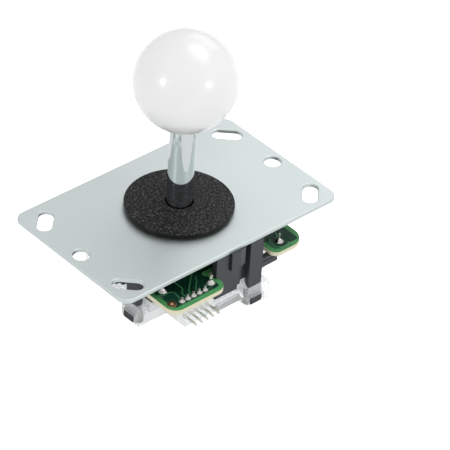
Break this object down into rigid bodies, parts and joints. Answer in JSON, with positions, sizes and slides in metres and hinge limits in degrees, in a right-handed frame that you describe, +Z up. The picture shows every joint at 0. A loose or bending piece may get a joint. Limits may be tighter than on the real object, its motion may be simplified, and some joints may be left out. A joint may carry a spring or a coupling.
{
  "type": "arcade joystick lever",
  "caption": "Ball-top joystick lever on a slotted steel mounting plate, with a sprung pivot, snap switches on a circuit board with a pin header, and a clear square gate.",
  "frame": {"origin": "on the lever's axis, in the top face of the mounting plate, midway between its two end holes", "axes": "+X along the plate's long side, +Y across it away from the header, +Z up the lever"},
  "size_m": [0.095, 0.0693, 0.0963],
  "materials": {
    "zinc_plate": "satin light grey zinc",
    "steel": "bright steel",
    "white_ball": "polished white",
    "brass": "machined",
    "chrome": "polished",
    "black_washer": "fine leather grain",
    "natural_plastic": "smooth acetal",
    "dark_plastic": "fine moulded texture",
    "spring_wire": "drawn wire",
    "black_plastic": "smooth moulded",
    "green_board": "solder resist on glass laminate",
    "ivory_plastic": "smooth moulded",
    "tinned_metal": "bright tin",
    "solder": "bright solder",
    "clear_plastic": "clear moulded",
    "switch_cover": "smooth moulded",
    "plunger": "smooth red"
  },
  "bodies": {
    "base": {"mounting_plate": "zinc_plate", "plate_screws": "steel", "housing": "dark_plastic", "spring_seat": "steel", "circuit_board": "green_board", "solder_joints": "solder", "wire_links": "tinned_metal", "switch_terminals": "tinned_metal", "header_body": "ivory_plastic", "header_pins": "tinned_metal", "restrictor_gate": "clear_plastic", "switch_case_front": "black_plastic", "switch_case_right": "black_plastic", "switch_case_back": "black_plastic", "switch_case_left": "black_plastic", "switch_cover_front": "switch_cover", "switch_cover_right": "switch_cover", "switch_cover_back": "switch_cover", "switch_cover_left": "switch_cover"},
    "pivot": {"pivot_ball": "natural_plastic"},
    "tilt": {"actuator": "black_plastic", "centring_spring": "spring_wire"},
    "lever": {"shaft": "chrome", "ball_top": "white_ball", "ball_insert": "brass", "e_clip": "spring_wire"},
    "lower_washer": {"lower_dust_washer": "black_washer"},
    "upper_washer": {"dust_washer": "black_washer"},
    "plunger_front": {"plunger_front": "plunger"},
    "plunger_right": {"plunger_right": "plunger"},
    "plunger_back": {"plunger_back": "plunger"},
    "plunger_left": {"plunger_left": "plunger"}
  },
  "joints": [
    {"name": "tilt_x", "type": "hinge", "parent": "base", "child": "pivot", "pos_m": [0, 0, -0.0075], "axis": [1, 0, 0], "range_deg": [-7.5, 7.5], "stiffness_Nm_per_rad": 0.6, "deforming": ["centring_spring"]},
    {"name": "tilt_y", "type": "hinge", "parent": "pivot", "child": "tilt", "pos_m": [0, 0, -0.0075], "axis": [0, 1, 0], "range_deg": [-7.5, 7.5], "stiffness_Nm_per_rad": 0.6, "deforming": ["centring_spring"]},
    {"name": "shaft_spin", "type": "hinge", "parent": "tilt", "child": "lever", "pos_m": [0, 0, -0.0075], "axis": [0, 0, 1], "continuous": true},
    {"name": "washer_slide_y", "type": "slide", "parent": "base", "child": "lower_washer", "axis": [0, 1, 0], "range_m": [-0.00126, 0.00126]},
    {"name": "washer_slide_x", "type": "slide", "parent": "lower_washer", "child": "upper_washer", "axis": [1, 0, 0], "range_m": [-0.00126, 0.00126]},
    {"name": "plunger_front_slide", "type": "slide", "parent": "base", "child": "plunger_front", "axis": [0, -1, 0], "range_m": [0, 0.0009], "stiffness_N_per_m": 400},
    {"name": "plunger_right_slide", "type": "slide", "parent": "base", "child": "plunger_right", "axis": [1, 0, 0], "range_m": [0, 0.0009], "stiffness_N_per_m": 400},
    {"name": "plunger_back_slide", "type": "slide", "parent": "base", "child": "plunger_back", "axis": [0, 1, 0], "range_m": [0, 0.0009], "stiffness_N_per_m": 400},
    {"name": "plunger_left_slide", "type": "slide", "parent": "base", "child": "plunger_left", "axis": [-1, 0, 0], "range_m": [0, 0.0009], "stiffness_N_per_m": 400}
  ],
  "couplings": [
    {"joint": "washer_slide_y", "follows": "tilt_x", "m_per_rad": -0.00955},
    {"joint": "washer_slide_x", "follows": "tilt_y", "m_per_rad": 0.00955}
  ]
}
